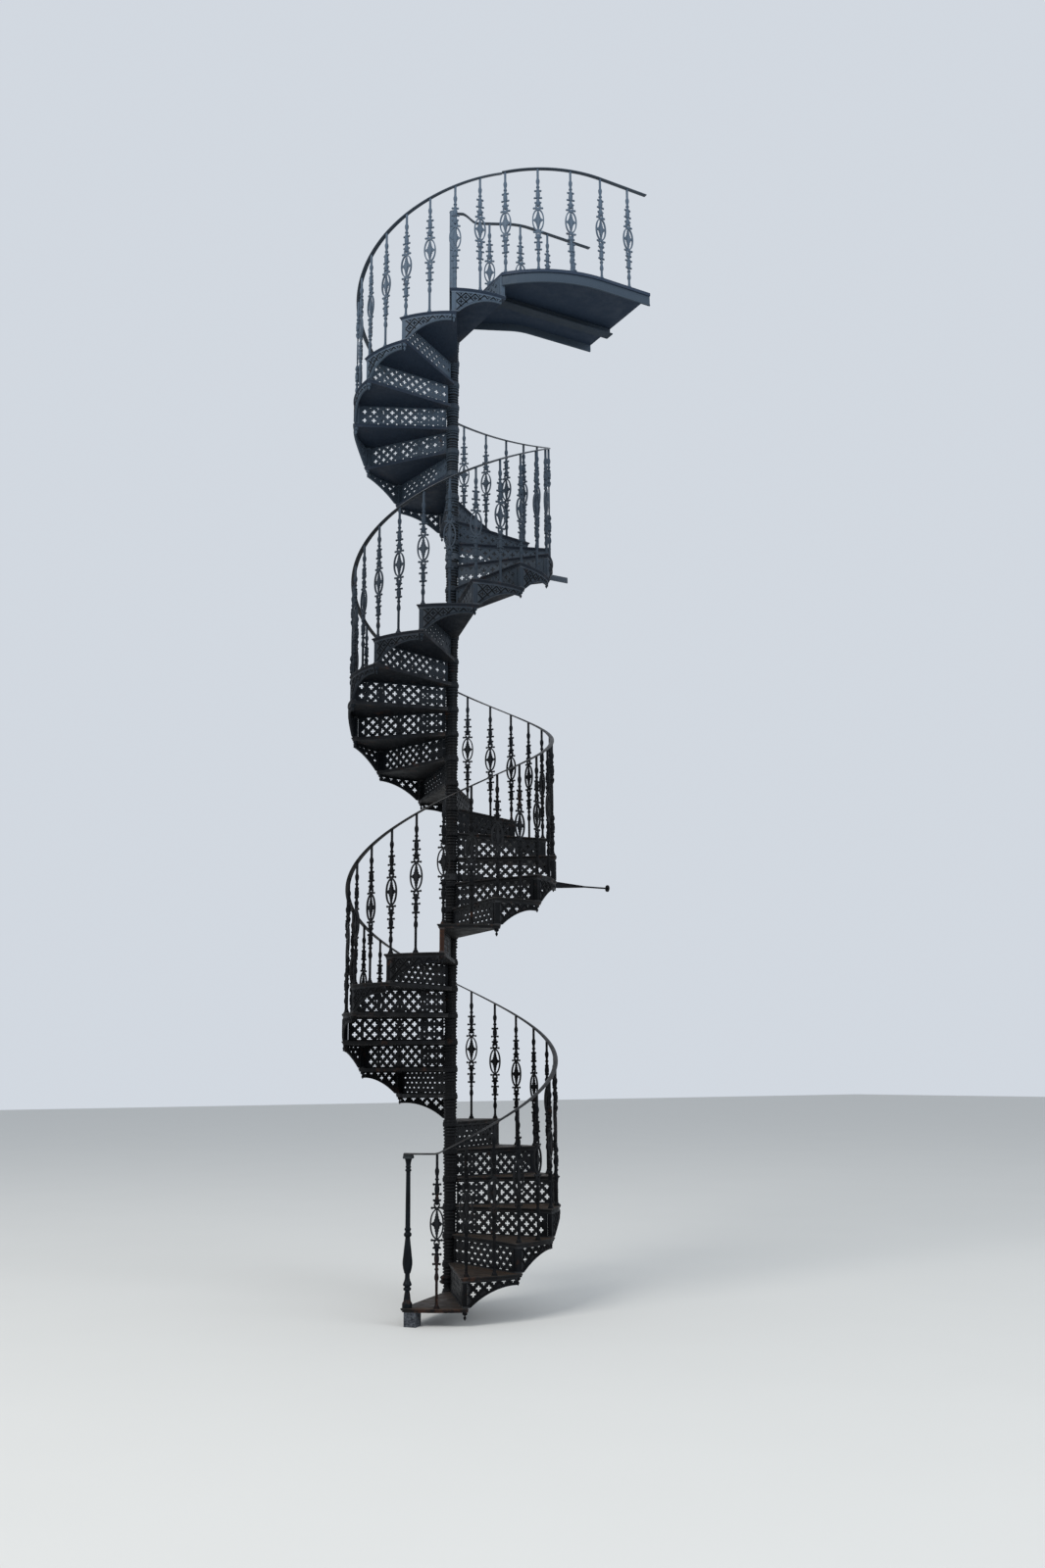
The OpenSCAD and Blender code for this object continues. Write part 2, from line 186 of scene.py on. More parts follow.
def square_post(x0, x1, y0, y1, levels):
    """A square post whose faces step in and out: levels are (height, outset)."""
    return skin([[(x0 - d, y0 - d, z), (x1 + d, y0 - d, z), (x1 + d, y1 + d, z), (x0 - d, y1 + d, z)]
                 for z, d in levels])


def bar(low, high):
    """A box between two corners."""
    (x0, y0, z0), (x1, y1, z1) = low, high
    points = [(x, y, z) for x in (x0, x1) for y in (y0, y1) for z in (z0, z1)]
    return Shape(points, [(0, 1, 3, 2), (4, 6, 7, 5), (0, 4, 5, 1), (2, 3, 7, 6), (0, 2, 6, 4), (1, 5, 7, 3)])


def ball(r, cx, cz):
    """A small ball, a little flat from front to back."""
    squash, rings, sides = 0.8, 5, 8
    points, faces = [(cx, 0, cz - r)], []
    for i in range(1, rings):
        p = math.pi * i / rings - math.pi / 2
        for j in range(sides):
            a = 2 * math.pi * j / sides
            points.append((cx + r * math.cos(p) * math.cos(a), squash * r * math.cos(p) * math.sin(a),
                           cz + r * math.sin(p)))
    points.append((cx, 0, cz + r))
    top = 1 + (rings - 2) * sides
    for j, m in pairs(list(range(sides))):
        faces.append((0, 1 + m, 1 + j))
        for low in range(1, top, sides):
            faces.append((low + j, low + m, low + sides + m, low + sides + j))
        faces.append((top + j, top + m, len(points) - 1))
    return Shape(points, faces)


def inside(points, loop):
    """Which 2D points lie inside a closed loop."""
    x, y = points[:, 0], points[:, 1]
    hit = np.zeros(len(points), bool)
    for (x0, y0), (x1, y1) in pairs(loop):
        if y0 != y1:
            hit ^= ((y0 > y) != (y1 > y)) & (x < (x1 - x0) * (y - y0) / (y1 - y0) + x0)
    return hit


def plate(outline, holes, thickness, bend=None):
    """A plate in the x-z plane, from y = 0 to its thickness, with holes through it."""
    points, edges = [], []
    for loop in [outline] + holes:
        edges += pairs(list(range(len(points), len(points) + len(loop))))
        points += loop
    verts, _, tris, _, _, _ = delaunay_2d_cdt([Vector(p) for p in points], edges, [], 0, 1e-4)
    flat = np.array([(v.x, v.y) for v in verts])
    centres = np.array([flat[list(t)].mean(0) for t in tris])
    keep = inside(centres, outline)
    for hole in holes:
        keep &= ~inside(centres, hole)
    n = len(flat)
    front = np.stack([flat[:, 0], np.zeros(n), flat[:, 1]], 1)
    points = np.concatenate([front, front + np.array([0, thickness, 0])])
    faces = [tuple(t) for t, k in zip(tris, keep) if k]
    edges = [edge for t in faces for edge in pairs(t)]
    inner = set(edges)
    walls = [(b, a, a + n, b + n) for a, b in edges if (b, a) not in inner]
    backs = [tuple(i + n for i in reversed(t)) for t in faces]
    return Shape(bend(points) if bend else points, faces + backs + walls)


def casting(outline, holes, thickness):
    """A flat casting centred on y = 0."""
    shape = Shape()
    shape.put(plate(outline, holes, thickness), at=(0, -thickness / 2, 0))
    return shape


def mirrored(half):
    """A loop from the right-hand side of a symmetric outline, given from bottom to top."""
    return half + [(-x, z) for x, z in reversed(half) if x > 0.01]


def oval(w, h, n):
    return [(w / 2 * math.cos(a), h / 2 * math.sin(a)) for a in (2 * math.pi * i / n for i in range(n))]


# Materials
class Nodes:
    """Short names for building a node material."""

    def __init__(self, name):
        self.material = bpy.data.materials.new(name)
        self.material.use_nodes = True
        self.tree = self.material.node_tree
        self.tree.nodes.clear()
        out = self.node("ShaderNodeOutputMaterial")
        self.bsdf = self.node("ShaderNodeBsdfPrincipled")
        self.feed(out.inputs["Surface"], self.bsdf.outputs["BSDF"])
        self.coords = self.node("ShaderNodeTexCoord").outputs["Object"]

    def node(self, kind, **values):
        n = self.tree.nodes.new(kind)
        for key, value in values.items():
            setattr(n, key, value)
        return n

    def feed(self, socket, value):
        """Sets a socket to a number or a colour, or links another node's output to it."""
        if isinstance(value, (int, float)):
            socket.default_value = value
        elif isinstance(value, tuple):
            socket.default_value = (*value, 1.0)
        else:
            self.tree.links.new(value, socket)

    def noise(self, scale, detail=6.0, rough=0.6, distortion=0.0):
        n = self.node("ShaderNodeTexNoise")
        for key, value in (("Scale", scale), ("Detail", detail), ("Roughness", rough),
                           ("Distortion", distortion), ("Vector", self.coords)):
            self.feed(n.inputs[key], value)
        return n.outputs["Fac"]

    def band(self, value, low, high, to_low=0.0, to_high=1.0):
        """Runs smoothly from to_low to to_high while a value runs from low to high."""
        n = self.node("ShaderNodeMapRange", interpolation_type="SMOOTHSTEP")
        for key, number in (("From Min", low), ("From Max", high), ("To Min", to_low), ("To Max", to_high),
                            ("Value", value)):
            self.feed(n.inputs[key], number)
        return n.outputs["Result"]

    def math(self, operation, a, b):
        n = self.node("ShaderNodeMath", operation=operation, use_clamp=True)
        self.feed(n.inputs[0], a)
        self.feed(n.inputs[1], b)
        return n.outputs["Value"]

    def mix(self, factor, a, b):
        n = self.node("ShaderNodeMix", data_type="RGBA")
        for key, value in (("Factor", factor), ("A", a), ("B", b)):
            self.feed(n.inputs[key], value)
        return n.outputs["Result"]

    def pointiness_band(self, low, high):
        return self.band(self.node("ShaderNodeNewGeometry").outputs["Pointiness"], low, high)

    def axis_z(self, vector):
        split = self.node("ShaderNodeSeparateXYZ")
        self.feed(split.inputs["Vector"], vector)
        return split.outputs["Z"]

    def up(self):
        """One where a face looks up."""
        return self.band(self.axis_z(self.node("ShaderNodeNewGeometry").outputs["Normal"]), 0.6, 0.9)

    def height(self, low, high, most=1.0):
        """Grows to its most between two heights in metres."""
        return self.band(self.axis_z(self.coords), low, high, 0.0, most)

    def near(self, place, reach):
        """One close to a place in metres, falling to nothing at its reach."""
        n = self.node("ShaderNodeVectorMath", operation="DISTANCE")
        self.feed(n.inputs[0], self.coords)
        n.inputs[1].default_value = place
        return self.band(n.outputs["Value"], reach, reach * 0.7)

    def bump(self, height, strength, distance):
        n = self.node("ShaderNodeBump")
        for key, value in (("Strength", strength), ("Distance", distance), ("Height", height)):
            self.feed(n.inputs[key], value)
        self.feed(self.bsdf.inputs["Normal"], n.outputs["Normal"])

    def finish(self, colour, roughness, metallic, specular):
        for key, value in (("Base Color", colour), ("Roughness", roughness), ("Metallic", metallic),
                           ("Specular IOR Level", specular)):
            self.feed(self.bsdf.inputs[key], value)
        return self.material


RUST = (0.026, 0.0115, 0.0075)
RUST_LIGHT = (0.058, 0.026, 0.0145)
BLACK = (0.0026, 0.0028, 0.0034)
BLUE_GREY = (0.0085, 0.0105, 0.0140)
DUST_BLUE = (0.016, 0.024, 0.040)
# Painted haze of light: the pale blue-grey and blue that colours take on higher up
PAINTED_HAZE_GREY = (0.086, 0.122, 0.168)
PAINTED_HAZE_BLUE = (0.042, 0.072, 0.125)
WORN_EDGE_HIGHLIGHT_GREY = (0.070, 0.073, 0.078)
WORN_EDGE_HIGHLIGHT_BLUE = (0.150, 0.182, 0.220)
TRODDEN, TRODDEN_LIGHT = (0.018, 0.014, 0.0115), (0.042, 0.028, 0.019)
TREAD_SPOT, TREAD_MOSS, TREAD_WORN = (0.014, 0.012, 0.011), (0.036, 0.034, 0.019), (0.13, 0.12, 0.115)
RAIL_DARK, RAIL_GREY = (0.007, 0.0075, 0.0085), (0.022, 0.0225, 0.024)
RAIL_RUST, RAIL_BARE_HIGHLIGHT = (0.050, 0.027, 0.018), (0.30, 0.29, 0.28)
NEWEL_DARK, NEWEL_BLUE, NEWEL_WORN_HIGHLIGHT = (0.0028, 0.0040, 0.0054), (0.0060, 0.0092, 0.0125), (0.085, 0.098, 0.105)
BLOCK_DARK, BLOCK_LIGHT, BLOCK_STAIN = (0.012, 0.014, 0.019), (0.070, 0.079, 0.092), (0.020, 0.019, 0.018)

# Heights in metres between which a painted haze of light makes the paint paler, as (from, to)
PAINTED_HAZE_HEIGHTS = (3.2, 8.2)
RAIL_PAINTED_HAZE_HEIGHTS = (3.6, 8.2)

# Places that are rusted in the photo, in metres
FIRST_EDGE = metres(TREAD_R, START_ANGLE + 24, FIRST_TOP)
FIRST_FOOT = metres(BALUSTER_R, START_ANGLE + CORNER_AT + STEP_ANGLE / 2, FIRST_TOP + 120)
BARE_PILASTER = metres(PILASTER_IN + PILASTER_W, step_dir(LOST_SPANDREL) + 1.5,
                       step_top(LOST_SPANDREL - 1) + RISER_H / 2)


def painted_iron(name, dusty=BLUE_GREY, rust=0.60, wear=0.25, dust=0.5, rusted=None, shine=0.06, painted_haze=0.88):
    """Old near-black paint: dusty blue-grey in places, rust in patches, and paler higher up as painted haze of
    light.

    More rust comes with a lower number. A rusted place is (place, reach, least rust there).
    """
    m = Nodes(name)
    cloud = m.band(m.noise(3.2, 5.0, 0.6), 0.38, 0.72, 0.0, dust)
    grain = m.noise(140.0, 3.0, 0.55)
    base = m.mix(cloud, BLACK, dusty)
    # Painted haze of light: the paint is mixed towards pale blue-grey higher up
    base = m.mix(m.height(*PAINTED_HAZE_HEIGHTS, painted_haze), base, PAINTED_HAZE_GREY)
    patches = m.band(m.noise(9.0, 9.0, 0.68, 0.4), rust, rust + 0.10)
    speckle = m.band(m.noise(60.0, 6.0, 0.7), 0.50, 0.66)
    rusty = m.math("MULTIPLY", patches, m.math("ADD", speckle, 0.45))
    if rusted:
        place, reach, least = rusted
        spot = m.math("MULTIPLY", m.near(place, reach), m.math("ADD", speckle, least))
        rusty = m.math("MAXIMUM", rusty, spot)
    base = m.mix(rusty, base, m.mix(grain, RUST, RUST_LIGHT))
    # Painted shade: hollows and grooves, where the pointiness is low, are darkened to near black
    base = m.mix(m.pointiness_band(0.49, 0.44), base, BLACK)
    # Sharp edges: worn paint together with a painted highlight, bluer higher up with the painted haze
    worn = m.math("MULTIPLY", m.pointiness_band(0.55, 0.65), wear)
    base = m.mix(worn, base, m.mix(m.height(*PAINTED_HAZE_HEIGHTS), WORN_EDGE_HIGHLIGHT_GREY, WORN_EDGE_HIGHLIGHT_BLUE))
    m.bump(m.math("ADD", m.math("MULTIPLY", grain, 0.6), m.math("MULTIPLY", rusty, 0.5)), 0.35, 0.0012)
    rough = m.band(m.noise(22.0, 4.0, 0.6), 0.3, 0.7, 0.42, 0.62)
    return m.finish(base, m.math("ADD", rough, m.math("MULTIPLY", rusty, 0.3)), 0.0, shine)


def tread_iron(name, wear=0.25):
    """Treads: trodden brown and rusty on top, dark paint on edges and underside, the underside bluer higher up as
    painted haze of light.
    """
    m = Nodes(name)
    grain = m.noise(120.0, 3.0, 0.6)
    cloud = m.band(m.noise(5.0, 7.0, 0.65), 0.35, 0.68)
    under = m.mix(m.band(m.noise(3.0, 4.0), 0.4, 0.7, 0.0, 0.4), BLACK, BLUE_GREY)
    # Painted haze of light: the underside turns blue higher up
    under = m.mix(m.height(*PAINTED_HAZE_HEIGHTS, 0.5), under, PAINTED_HAZE_BLUE)
    top = m.mix(cloud, TRODDEN, TRODDEN_LIGHT)
    dark_spots = m.band(m.noise(16.0, 8.0, 0.7), 0.52, 0.68, 0.0, 0.8)
    top = m.mix(dark_spots, top, TREAD_SPOT)
    moss = m.band(m.noise(7.0, 6.0, 0.7, 0.6), 0.60, 0.72, 0.0, 0.45)
    top = m.mix(moss, top, TREAD_MOSS)
    edge_rust = m.band(m.noise(11.0, 8.0, 0.68), 0.56, 0.68, 0.0, 0.7)
    foot = m.math("MULTIPLY", m.near(FIRST_EDGE, 0.30), m.band(m.noise(26.0, 7.0, 0.7), 0.42, 0.60, 0.0, 0.8))
    edge_rust = m.math("MAXIMUM", m.math("MULTIPLY", edge_rust, m.height(7.5, 3.0)), foot)
    side = m.mix(edge_rust, under, m.mix(grain, RUST, RUST_LIGHT))
    colour = m.mix(m.up(), side, top)
    worn = m.math("MULTIPLY", m.pointiness_band(0.55, 0.64), wear)
    colour = m.mix(worn, colour, TREAD_WORN)
    m.bump(m.math("ADD", m.math("MULTIPLY", grain, 0.5), m.math("MULTIPLY", dark_spots, 0.4)), 0.4, 0.0015)
    return m.finish(colour, m.band(m.noise(14.0, 4.0), 0.3, 0.7, 0.50, 0.78), 0.0, 0.18)


def rail_metal():
    """Handrail: dark paint worn to grey metal where hands run, with a painted highlight on those worn edges, and
    paler higher up as painted haze.
    """
    m = Nodes("rail_metal")
    grain = m.noise(90.0, 4.0, 0.6)
    long_wear = m.band(m.noise(6.0, 6.0, 0.65), 0.38, 0.62)
    base = m.mix(long_wear, RAIL_DARK, RAIL_GREY)
    # Painted haze of light: paler higher up
    base = m.mix(m.height(*RAIL_PAINTED_HAZE_HEIGHTS, 0.45), base, PAINTED_HAZE_GREY)
    rusty = m.band(m.noise(18.0, 8.0, 0.7), 0.60, 0.70, 0.0, 0.7)
    base = m.mix(rusty, base, RAIL_RUST)
    # Worn bare metal on the edges lower down, laid on also as a painted highlight
    worn = m.math("MULTIPLY", m.math("MULTIPLY", m.pointiness_band(0.51, 0.57), 0.6), m.height(4.0, 1.0))
    base = m.mix(worn, base, RAIL_BARE_HIGHLIGHT)
    m.bump(grain, 0.2, 0.0008)
    return m.finish(base, m.band(m.noise(30.0, 3.0), 0.3, 0.7, 0.34, 0.52), 0.1, 0.3)


def newel_paint():
    """Newel: blue-black paint with a soft shine, sharp edges worn pale with a painted highlight, worn to rust at the
    foot.
    """
    m = Nodes("newel_blue")
    grain = m.noise(110.0, 3.0, 0.55)
    base = m.mix(m.band(m.noise(6.0, 5.0), 0.35, 0.7), NEWEL_DARK, NEWEL_BLUE)
    # Sharp edges: worn paint together with a painted highlight
    worn = m.math("MULTIPLY", m.pointiness_band(0.57, 0.68), 0.4)
    base = m.mix(worn, base, NEWEL_WORN_HIGHLIGHT)
    foot = m.math("MULTIPLY", m.height(0.30, 0.12, 0.6), m.band(m.noise(25.0, 6.0, 0.7), 0.50, 0.66))
    base = m.mix(foot, base, m.mix(grain, RUST, RUST_LIGHT))
    m.bump(grain, 0.25, 0.001)
    return m.finish(base, 0.42, 0.0, 0.08)


def grey_block():
    """Block under the newel: dark grey-blue, scuffed and stained."""
    m = Nodes("grey_block")
    grain = m.noise(70.0, 6.0, 0.7)
    base = m.mix(m.band(grain, 0.35, 0.65), BLOCK_DARK, BLOCK_LIGHT)
    stain = m.band(m.noise(14.0, 8.0, 0.7), 0.50, 0.66, 0.0, 0.8)
    base = m.mix(stain, base, BLOCK_STAIN)
    m.bump(grain, 0.6, 0.003)
    return m.finish(base, 0.85, 0.0, 0.3)


def matt(name, colour):
    """Plain matt ground with a faint tint."""
    m = Nodes(name)
    tint = m.mix(m.noise(0.8, 2.0), colour, tuple(c * 0.97 for c in colour))
    return m.finish(tint, 0.9, 0.0, 0.2)


IRON = painted_iron("step_iron")
PILASTER_IRON = painted_iron("pilaster_iron", rust=0.57, wear=0.3, rusted=(BARE_PILASTER, 0.12, 0.5))
COLLAR_IRON = painted_iron("collar_iron", rust=0.54, wear=0.1)
# The hub's beads get a strong painted highlight along with their wear, and less painted haze
HUB_IRON = painted_iron("hub_iron", rust=0.62, wear=0.6, dust=0.4, shine=0.12, painted_haze=0.48)
BALUSTER_IRON = painted_iron("baluster_iron", wear=0.12, dust=0.4, rusted=(FIRST_FOOT, 0.22, 0.1))
LANDING_IRON = painted_iron("landing_iron", dusty=DUST_BLUE, rust=0.66, wear=0.05, dust=0.8, painted_haze=0.30)
FASCIA_IRON = painted_iron("fascia_iron", rust=0.66, wear=0.05, painted_haze=0.55)
TREAD_IRON = tread_iron("tread_iron")
LANDING_FLOOR = tread_iron("landing_floor", wear=0.0)
RAIL_METAL = rail_metal()
NEWEL_PAINT = newel_paint()
GREY_BLOCK = grey_block()


def claim(piece, slot, *nodes):
    """Ties a piece to the fixed body and hides the nodes that it stands for; its slot is not used."""
    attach(piece, "root")
    if nodes:
        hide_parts(*nodes)


# Treads: the edge as (inset, height), and how far they reach under the hub and over the riser behind
TREAD_EDGE = [(9.0, -24.0), (9.0, -16.4), (6.0, -15.2), (4.6, -13.0), (4.0, -9.8), (2.2, -9.2), (0.4, -7.0),
              (0.4, -3.6), (2.0, -1.2), (5.0, 0.0)]
TREAD_INNER = BOSS_R - 4
TREAD_LAP = PILASTER_W + 2
TREAD_FRONT_CUTS, TREAD_RIM_CUTS, TREAD_BACK_CUTS = 8, 17, 7


def turn_at(depth, r):
    """Degrees from the x axis to where a circle round the stair's axis reaches a depth y."""
    return math.degrees(math.asin(depth / r))


def tread_loop(inset):
    """Outline of a tread with its front and outer edges drawn in."""
    r, y = TREAD_R - inset, inset - NOSING
    first, last = turn_at(y, r), STEP_ANGLE + turn_at(TREAD_LAP, r)
    x0, x1 = math.sqrt(TREAD_INNER * TREAD_INNER - y * y), r * math.cos(math.radians(first))
    back = np.array(polar(r, last))
    hub_side = np.array(polar(TREAD_INNER, STEP_ANGLE + turn_at(TREAD_LAP, TREAD_INNER)))
    loop = [(x0 + (x1 - x0) * t, y) for t in np.linspace(0, 1, TREAD_FRONT_CUTS)[:-1]]
    loop += [polar(r, a) for a in np.linspace(first, last, TREAD_RIM_CUTS)]
    loop += [tuple(back + (hub_side - back) * t) for t in np.linspace(0, 1, TREAD_BACK_CUTS)[1:]]
    return loop


def tread():
    return skin([[(x, y, z) for x, y in tread_loop(inset)] for inset, z in TREAD_EDGE])


# Pierced risers
PIERCE_PITCH = 68
PIERCE_ROW = 34
PIERCE_FIRST = 76
PIERCE_COLUMNS = 10
PIERCE_MARGIN = 20
SPARSE_COLUMNS = 2
LOBE_R = 6.6
LOBE_OUT = 11.0
LOBE_TURNS = (-138, -92, -46, 0, 46, 92, 138)
DRILL_R = 4.6
DRILL_AT = 17
RISER_IN = BOSS_R - 6
RISER_LIP = 5
RISER_LIP_Y = (-1.6, 0.2)


def clipped(loop, low, high):
    """A closed loop cut to the heights between low and high."""
    for level, sign in ((low, 1), (high, -1)):
        kept = []
        for (x0, z0), (x1, z1) in pairs(loop):
            in0, in1 = sign * (z0 - level) >= 0, sign * (z1 - level) >= 0
            if in0:
                kept.append((x0, z0))
            if in0 != in1:
                t = (level - z0) / (z1 - z0)
                kept.append((x0 + (x1 - x0) * t, level))
        loop = kept
    return loop


def quatrefoil(cx, cz, low=-math.inf, high=math.inf):
    """Outline of a four-lobed opening, cut off below or above."""
    loop = []
    for a in range(0, 360, 90):
        ox, oz = polar(LOBE_OUT, a)
        for turn in LOBE_TURNS:
            px, pz = polar(LOBE_R, a + turn)
            loop.append((cx + ox + px, cz + oz + pz))
    return clipped(loop, low, high)


def drilled(cx, cz):
    return [(cx + DRILL_R * math.cos(a), cz + DRILL_R * math.sin(a)) for a in (np.arange(8) + 0.5) * math.pi / 4]


def riser():
    """Riser plate: rows of four-lobed openings, halved above and below, and two bays of drilled holes at the hub."""
    mid, reach = RISER_H / 2, 2 * PIERCE_ROW
    holes = []
    for i in range(PIERCE_COLUMNS):
        x = PIERCE_FIRST + i * PIERCE_PITCH
        if x + PIERCE_MARGIN < PILASTER_IN:
            holes += [quatrefoil(x, mid), quatrefoil(x, mid - reach, low=mid - reach),
                      quatrefoil(x, mid + reach, high=mid + reach)]
        x += PIERCE_PITCH / 2
        if x + PIERCE_MARGIN >= PILASTER_IN:
            continue
        if i < SPARSE_COLUMNS:
            holes += [drilled(x, mid + dz) for dz in (DRILL_AT - reach, -DRILL_AT, DRILL_AT, reach - DRILL_AT)]
        else:
            holes += [quatrefoil(x, mid - PIERCE_ROW), quatrefoil(x, mid + PIERCE_ROW)]
    outline = [(RISER_IN, 0), (PILASTER_IN, 0), (PILASTER_IN, RISER_H), (RISER_IN, RISER_H)]
    shape = plate(outline, holes, RISER_T)
    for z in (0, RISER_H - RISER_LIP):
        shape.put(bar((RISER_IN, RISER_LIP_Y[0], z), (PILASTER_IN, RISER_LIP_Y[1], z + RISER_LIP)))
    return shape


# Pilasters as (height, outset), pendants as (radius, height)
PILASTER_LEVELS = [(0, 0), (8, 0), (10, -2.5), (RISER_H - 12, -2.5), (RISER_H - 9, -0.5), (RISER_H, -0.5)]
PENDANT = [(0.0, -50), (3.5, -48), (4.0, -44), (7.5, -40), (9.0, -34), (7.5, -28), (4.5, -25), (5.0, -21),
           (10.0, -18), (14.5, -14), (16.0, -9), (14.5, -4), (15.5, -2), (15.5, 0)]
PENDANT_SIDES = 20


def pilaster():
    return square_post(PILASTER_IN, PILASTER_IN + PILASTER_W, 0, PILASTER_W, PILASTER_LEVELS)


# Spandrels: s runs along the panel from the pilaster's front, and z is zero at the tread's underside
ARCH_R = 426
ARCH_CROWN = 42
ARCH_SHIFT = 30
ARCH_BAND = 15
ARCH_REACH = ARCH_R - 1.0
ARCH_LEAST_RISE = 0.05
ARCH_MOULDING = [(0, 0), (2.5, 0.5), (2.5, 4), (1.2, 5.5), (1.2, ARCH_BAND - 5), (2.5, ARCH_BAND - 3.5),
                 (2.5, ARCH_BAND - 1), (0, ARCH_BAND)]
PANEL_START = math.radians(2.6) * SPANDREL_R
PANEL_END = math.radians(STEP_ANGLE) * SPANDREL_R
PANEL_FOOT = -RISER_H + 1
PANEL_CUTS = 34
PANEL_ROWS, PANEL_COLUMNS = 5, 6
PANEL_TOP = 10
BAND_TOP = -1.0
LEAST_OPENING = 60
DIAGONAL_W = 8.5
DIAGONAL_OUT = 4.5
DIAGONAL_SECTION = [(-0.5, 0.0), (-0.32, DIAGONAL_OUT), (0.32, DIAGONAL_OUT), (0.5, 0.0)]
DIAGONAL_CUT = 4.0
DIAGONAL_MARGIN = 3
DIAGONAL_UNDER = 4
DIAGONAL_LEAST_CUTS = 4
DIAGONALS = range(-3, 8)


def soffit(s):
    """Height of the arch's underside."""
    x = min(PANEL_END - s - ARCH_SHIFT, ARCH_REACH)
    return -ARCH_CROWN - ARCH_R + math.sqrt(ARCH_R ** 2 - x * x)


def on_panel(s, z, out):
    """A point that stands out from the panel's bent face."""
    a = s / SPANDREL_R
    return (SPANDREL_R + out) * math.cos(a), (SPANDREL_R + out) * math.sin(a), z


def bent(points):
    """Wraps a flat panel, with x as length and y as depth, round the treads' outer edge."""
    return np.array([on_panel(s, z, -depth) for s, depth, z in points])


def over_arch(loop):
    """The part of a loop that stays clear of the band round the arch."""
    kept = []
    for (s0, z0), (s1, z1) in pairs(loop):
        f0, f1 = z0 - soffit(s0) - ARCH_BAND, z1 - soffit(s1) - ARCH_BAND
        if f0 >= 0:
            kept.append((s0, z0))
        if (f0 >= 0) != (f1 >= 0):
            t = f0 / (f0 - f1)
            kept.append((s0 + (s1 - s0) * t, z0 + (z1 - z0) * t))
    return kept


def area(loop):
    return abs(sum(x0 * y1 - x1 * y0 for (x0, y0), (x1, y1) in pairs(loop))) / 2


def diagonal(c, lean):
    """Rows across a raised bar along s = c + lean * z, from the top moulding down to the arch."""
    spread = DIAGONAL_W * math.sqrt(2)
    rows = []
    for z in np.arange(-PANEL_TOP, -RISER_H, -DIAGONAL_CUT):
        s = c + lean * z
        inner = PANEL_START + DIAGONAL_MARGIN < s < PANEL_END - DIAGONAL_MARGIN
        if inner and z > soffit(s) + ARCH_BAND - DIAGONAL_UNDER:
            rows.append([on_panel(s - w * spread, z, out) for w, out in DIAGONAL_SECTION])
    return rows


def spandrel():
    """Arched panel, pierced like the risers, with raised diagonal bars and a moulding round the arch."""
    stations = np.linspace(PANEL_START, PANEL_END, PANEL_CUTS)
    outline = [(s, max(soffit(s), PANEL_FOOT)) for s in stations][::-1] + [(s, 0.0) for s in stations]
    holes = []
    for row in range(PANEL_ROWS):
        z = -PANEL_TOP - row * PIERCE_ROW
        for i in range(PANEL_COLUMNS):
            s = PILASTER_W + PIERCE_ROW * (1 + row % 2) + i * PIERCE_PITCH
            if s + PIERCE_MARGIN > PANEL_END or z - LOBE_OUT < soffit(s) + ARCH_BAND:
                continue
            loop = over_arch(quatrefoil(s, z, high=-PANEL_TOP))
            if area(loop) > LEAST_OPENING:
                holes.append(loop)
    shape = plate(outline, holes, SPANDREL_T, bent)
    for lean in (1, -1):
        for i in DIAGONALS:
            rows = diagonal(PILASTER_W + 2 * PIERCE_ROW + lean * PANEL_TOP + i * PIERCE_PITCH, lean)
            if len(rows) >= DIAGONAL_LEAST_CUTS:
                shape.put(strip(rows))
    band = []
    for s in stations:
        if soffit(s) > PANEL_FOOT:
            lean_s = (PANEL_END - s - ARCH_SHIFT) / ARCH_R
            lean_z = math.sqrt(max(1 - lean_s ** 2, ARCH_LEAST_RISE))
            band.append([on_panel(s - lean_s * up, min(soffit(s) + lean_z * up, BAND_TOP), out)
                         for out, up in ARCH_MOULDING])
    shape.put(strip(band))
    return shape


# Hubs, as (radius, height) over one rise, fluted between two heights
HUB = [(46.5, 0), (47, 3), (47, 9), (45, 12), (39.5, 14), (39.5, 24), (43.5, 26), (44.5, 29), (43.5, 32), (39, 34),
       (38.5, 44), (43, 46), (44, 49), (43, 52), (38.5, 54), (38.5, 64), (43, 66), (44, 69), (43, 72), (39, 74),
       (39, 86), (45, 88), (47, 93), (47, 96), (45, 101), (39, 103), (39, 108), (45, 110), (47, 114), (47, 117),
       (45, 121), (39, 123), (39, 128), (45, 130), (47, 134), (47, 137), (45, 141), (40, 144), (43, 147), (49, 152),
       (51.5, 158), (51.5, 172), (50, 177), (45, 180)]
HUB_SIDES = 48
HUB_FLUTES, HUB_FLUTE_DEPTH, HUB_FLUTED = 12, 3.0, (153 - RISE, 176 - RISE)


def hub(height):
    """A hub hanging below z = 0, cut off at its foot where it is less than one rise high."""
    foot = RISE - height
    profile = [(HUB[0][0], foot)] + [(r, z) for r, z in HUB if z > foot]
    return turned([(r, z - RISE) for r, z in profile], HUB_SIDES, HUB_FLUTES, HUB_FLUTE_DEPTH, HUB_FLUTED)


# Rusted collar round the hub that stands on the first step
COLLAR = [(45, 0), (58, 2), (66, 8), (68, 16), (60, 22), (56, 27), (62, 33), (64, 41), (56, 49), (45, 54)]
COLLAR_FROM = 44
COLLAR_SIDES = 40
COLLAR_FLUTES, COLLAR_FLUTE_DEPTH, COLLAR_FLUTED = 9, 5.0, (3, 50)

